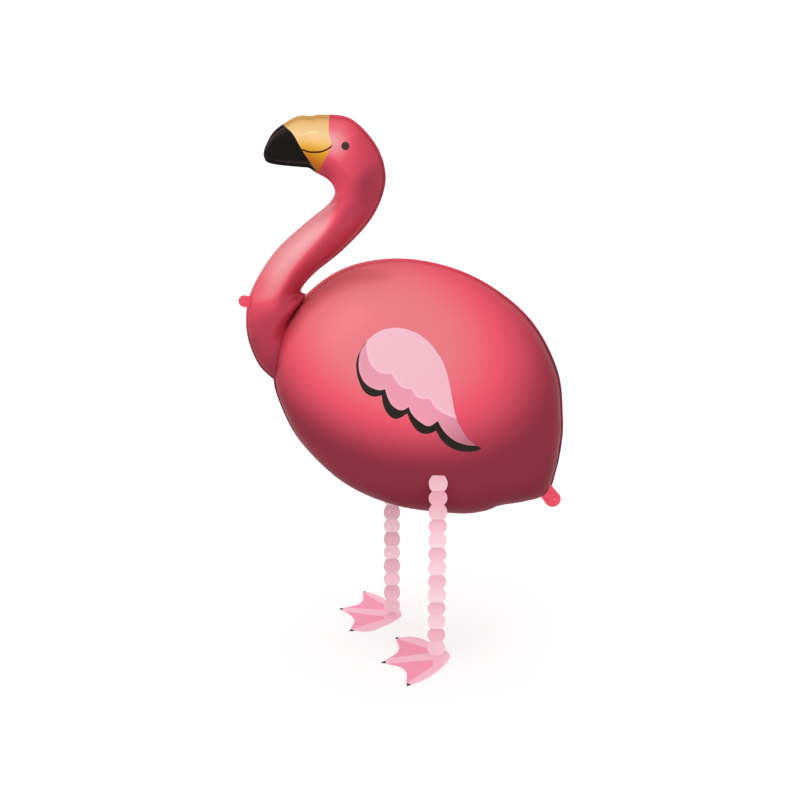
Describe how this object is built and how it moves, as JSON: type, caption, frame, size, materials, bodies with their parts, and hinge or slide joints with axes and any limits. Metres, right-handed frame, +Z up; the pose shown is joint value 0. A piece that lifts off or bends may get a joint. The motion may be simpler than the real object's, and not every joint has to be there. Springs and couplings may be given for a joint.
{
  "type": "flamingo walking balloon",
  "caption": "Pink foil flamingo balloon with a curved neck, black and yellow beak, folded paper legs and flat webbed card feet.",
  "frame": {"origin": "on the floor under the middle of the bird's box", "axes": "+Z up; the bird looks along -X, its tail is at +X and its left side is towards -Y"},
  "size_m": [0.969, 0.6764, 1.5972],
  "materials": {
    "foil_body": "satin printed foil",
    "foil_neck": "satin printed foil",
    "paper_legs": "matte tissue paper",
    "card_feet": "matte printed card"
  },
  "bodies": {
    "root": {"body_balloon": "foil_body", "neck_head_balloon": "foil_neck", "leg_left": "paper_legs", "leg_right": "paper_legs", "foot_left": "card_feet", "foot_right": "card_feet"}
  },
  "joints": []
}
